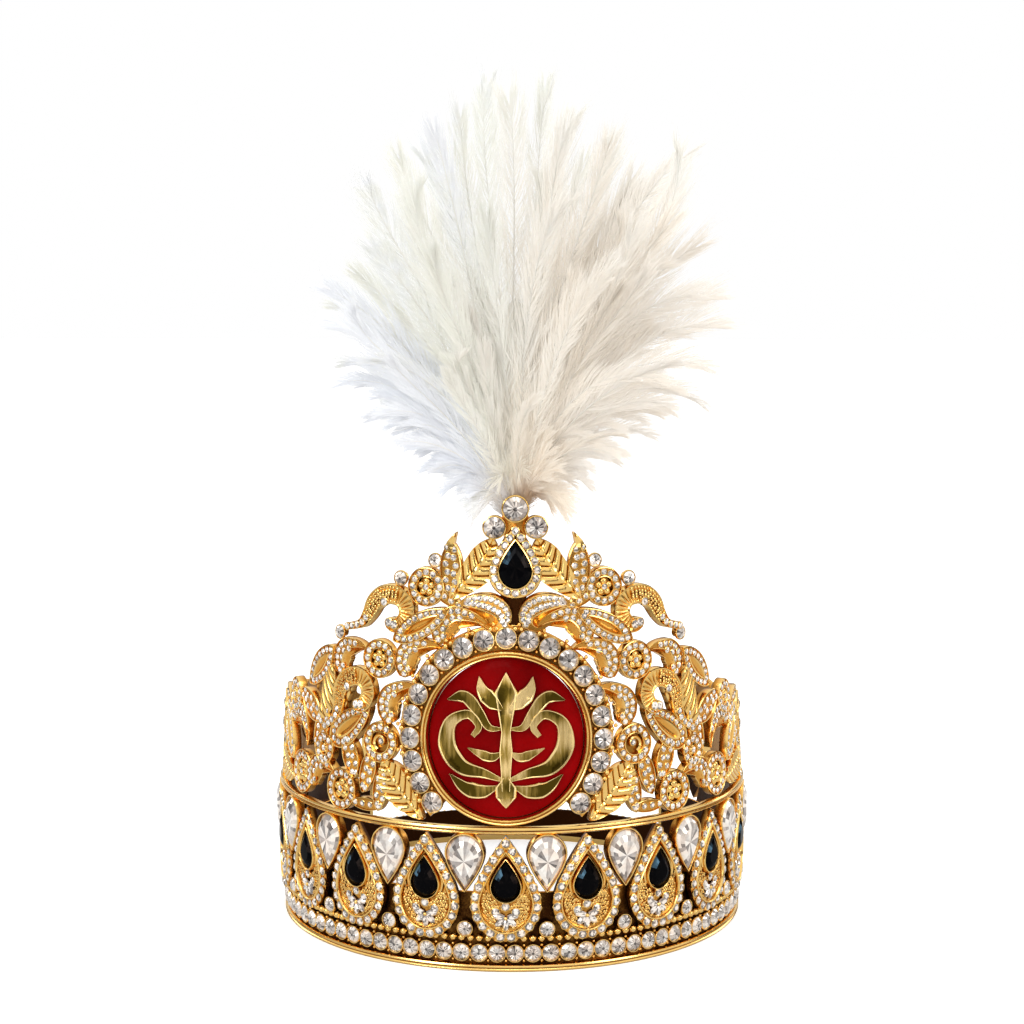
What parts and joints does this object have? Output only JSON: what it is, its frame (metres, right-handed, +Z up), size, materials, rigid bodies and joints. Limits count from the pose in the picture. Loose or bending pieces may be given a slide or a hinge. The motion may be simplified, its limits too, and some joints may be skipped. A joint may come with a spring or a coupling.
{
  "type": "taj crown",
  "caption": "Jewelled gold ceremonial taj crown: an open-backed band of pear stones, a leafy openwork gallery, a red medallion in a halo of stones, and a white feather plume.",
  "frame": {"origin": "centre of the base ring, at the level of its underside", "axes": "+Z up through the crown's open middle, -Y is the front with the medallion, +X is the right-hand side of somebody who looks at the front"},
  "size_m": [0.186, 0.2043, 0.324],
  "materials": {
    "gold": "polished gold plate on cast zinc alloy and brass",
    "crystal": "foil-backed cut glass",
    "jet": "faceted opaque black glass",
    "red_enamel": "glossy translucent red enamel",
    "feather": "soft white and cream hackle feathers"
  },
  "bodies": {
    "root": {"band_frame": "gold", "gallery": "gold", "row_stones": "crystal", "black_pear_01": "jet", "black_pear_02": "jet", "black_pear_03": "jet", "black_pear_04": "jet", "black_pear_05": "jet", "black_pear_06": "jet", "black_pear_07": "jet", "black_pear_08": "jet", "black_pear_09": "jet", "black_pear_10": "jet", "black_pear_11": "jet", "black_pear_12": "jet", "black_pear_13": "jet", "clear_pear_01": "crystal", "clear_pear_02": "crystal", "clear_pear_03": "crystal", "clear_pear_04": "crystal", "clear_pear_05": "crystal", "clear_pear_06": "crystal", "clear_pear_07": "crystal", "clear_pear_08": "crystal", "clear_pear_09": "crystal", "clear_pear_10": "crystal", "clear_pear_11": "crystal", "clear_pear_12": "crystal", "clear_pear_13": "crystal", "clear_pear_14": "crystal", "spacer_stone_01": "crystal", "spacer_stone_02": "crystal", "spacer_stone_03": "crystal", "spacer_stone_04": "crystal", "spacer_stone_05": "crystal", "spacer_stone_06": "crystal", "spacer_stone_07": "crystal", "spacer_stone_08": "crystal", "spacer_stone_09": "crystal", "spacer_stone_10": "crystal", "spacer_stone_11": "crystal", "spacer_stone_12": "crystal", "spacer_stone_13": "crystal", "spacer_stone_14": "crystal", "halo_stones": "crystal", "medallion_rim": "gold", "medallion_disc": "red_enamel", "medallion_scroll": "gold", "finial_pear": "jet", "finial_stone_top": "crystal", "finial_stone_left": "crystal", "finial_stone_right": "crystal", "plume_socket": "gold", "plume": "feather"}
  },
  "joints": []
}
